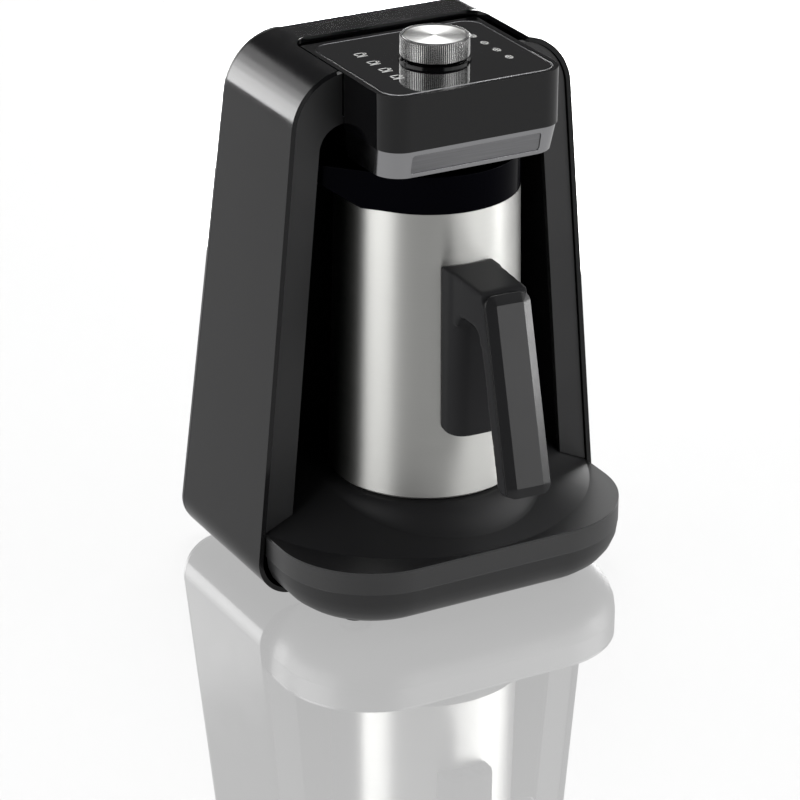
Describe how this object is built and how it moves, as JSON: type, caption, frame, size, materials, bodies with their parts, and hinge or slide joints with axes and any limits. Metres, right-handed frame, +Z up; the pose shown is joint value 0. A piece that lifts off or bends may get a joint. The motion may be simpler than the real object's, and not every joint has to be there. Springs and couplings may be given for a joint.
{
  "type": "electric turkish coffee maker",
  "caption": "Countertop electric Turkish coffee maker: slanted black shell with an open niche, overhanging control head with a press-and-turn knob, and a lift-out steel pot.",
  "frame": {"origin": "on the floor, below the middle of the whole object's box, pot handle included", "axes": "+Z up, -Y towards the front where the pot comes out, +X to the right seen from the front"},
  "size_m": [0.184, 0.19, 0.2699],
  "materials": {
    "shell_satin": "moulded, satin black",
    "fascia_satin": "moulded, fine satin black",
    "niche_black": "moulded, dark satin",
    "tray_satin": "moulded, satin black",
    "head_gloss": "polished black",
    "panel_gloss": "polished black panel",
    "chrome_trim": "satin-bright plated trim",
    "blank_plate": "brushed blank plate",
    "knob_aluminium": "turned and knurled aluminium",
    "knob_face": "spun aluminium face",
    "ring_black": "polished black",
    "pot_steel": "horizontally brushed stainless steel",
    "base_steel": "turned steel",
    "collar_gloss": "polished black",
    "handle_satin": "moulded, satin black",
    "cap_satin": "moulded, fine satin black",
    "inner_black": "moulded, dark",
    "board_green": "glass-epoxy board with solder mask",
    "cream_plastic": "moulded, cream",
    "milky_guide": "milky light guide",
    "smoked_lens": "smoked infrared window",
    "rubber_black": "soft black rubber",
    "silicone_red": "red-brown silicone",
    "silicone_grey": "grey silicone",
    "heater_aluminium": "turned aluminium",
    "brass_nut": "plain brass",
    "screw_steel": "zinc-plated steel"
  },
  "bodies": {
    "root": {"outer_shell": "shell_satin", "front_fascia": "fascia_satin", "niche_liner": "niche_black", "rear_cover_lower": "fascia_satin", "rear_cover_upper": "shell_satin", "base_tray": "tray_satin", "base_pan": "tray_satin", "base_plate": "inner_black", "feet": "rubber_black", "head_housing": "head_gloss", "control_panel": "panel_gloss", "panel_bezel": "chrome_trim", "trim_band": "chrome_trim", "trim_plate": "blank_plate", "head_underside": "niche_black", "overflow_lens": "smoked_lens", "sensor_board": "board_green", "control_board": "board_green", "light_guides": "milky_guide", "buzzer": "inner_black", "encoder_body": "inner_black", "encoder_nut": "brass_nut", "knob_ring": "ring_black", "power_board": "board_green", "power_relay": "inner_black", "terminal_block": "cream_plastic", "cord_gland": "rubber_black", "heater_plate": "heater_aluminium", "heating_element": "base_steel", "heater_clamp": "screw_steel", "seat_seal": "silicone_red", "temperature_sensor": "screw_steel", "thermal_fuse": "brass_nut", "housing_screws": "screw_steel", "board_screws": "screw_steel"},
    "rotor": {"encoder_rotor": "cream_plastic"},
    "knob": {"knob": "knob_aluminium", "knob_cap": "knob_face", "encoder_shaft": "screw_steel"},
    "pot": {"pot_body": "pot_steel", "pot_base_disc": "base_steel", "pot_collar": "collar_gloss", "collar_seal": "silicone_grey", "handle_body": "handle_satin", "handle_cap": "cap_satin", "handle_bracket": "base_steel", "handle_screws": "screw_steel"}
  },
  "joints": [
    {"name": "knob_turn", "type": "hinge", "parent": "root", "child": "rotor", "pos_m": [0, 0.00953, 0.2584], "axis": [0, 0, 1], "continuous": true},
    {"name": "knob_press", "type": "slide", "parent": "rotor", "child": "knob", "axis": [0, 0, -1], "range_m": [0, 0.0007], "stiffness_N_per_m": 3000, "springref_m": -0.0006},
    {"name": "pot_out", "type": "slide", "parent": "root", "child": "pot", "axis": [0, -1, 0], "range_m": [0, 0.13]}
  ]
}
